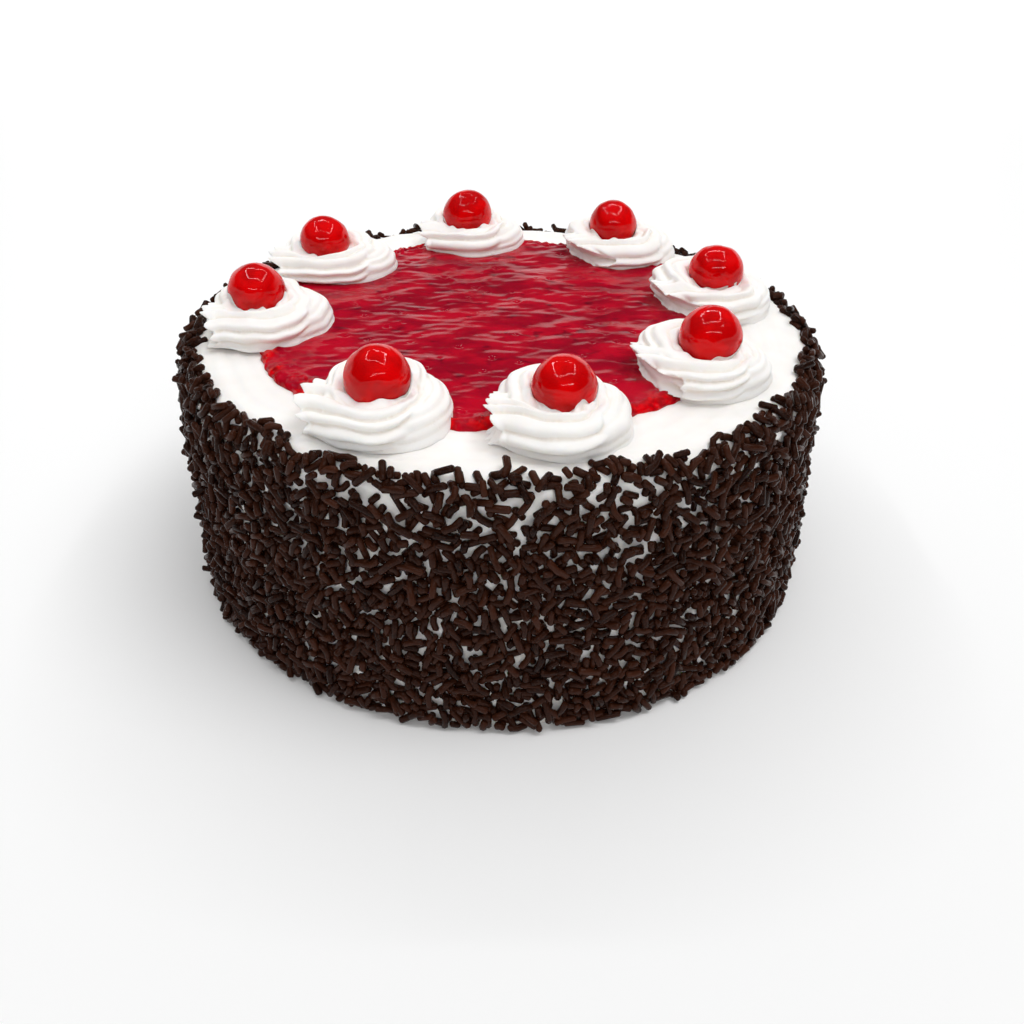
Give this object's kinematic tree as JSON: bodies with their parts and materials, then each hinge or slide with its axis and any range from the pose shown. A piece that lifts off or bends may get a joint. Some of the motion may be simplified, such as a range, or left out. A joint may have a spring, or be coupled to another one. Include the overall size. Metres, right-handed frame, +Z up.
{
  "type": "black forest cake",
  "caption": "Round iced cake with chocolate sprinkles round its side, a disc of cherry gel on top and a ring of piped cream rosettes, each holding a glossy red cherry.",
  "frame": {"origin": "middle of the cake's underside, on the surface it stands on", "axes": "+Z up; -Y is the front and +X is to the right seen from the front; the piped rosettes' ridged ends point to -X"},
  "size_m": [0.2068, 0.2112, 0.1039],
  "materials": {
    "icing": "smooth whipped icing, satin",
    "piped_cream": "piped whipped cream, satin",
    "cherry_gel": "wet glossy red gel",
    "cherry": "glossy candied cherry",
    "sprinkles": "semi-gloss dark chocolate"
  },
  "bodies": {
    "root": {"iced_cake": "icing", "cherry_gel": "cherry_gel", "rosette_1": "piped_cream", "rosette_2": "piped_cream", "rosette_3": "piped_cream", "rosette_4": "piped_cream", "rosette_5": "piped_cream", "rosette_6": "piped_cream", "rosette_7": "piped_cream", "rosette_8": "piped_cream", "cherry_1": "cherry", "cherry_2": "cherry", "cherry_3": "cherry", "cherry_4": "cherry", "cherry_5": "cherry", "cherry_6": "cherry", "cherry_7": "cherry", "cherry_8": "cherry"}
  },
  "joints": []
}
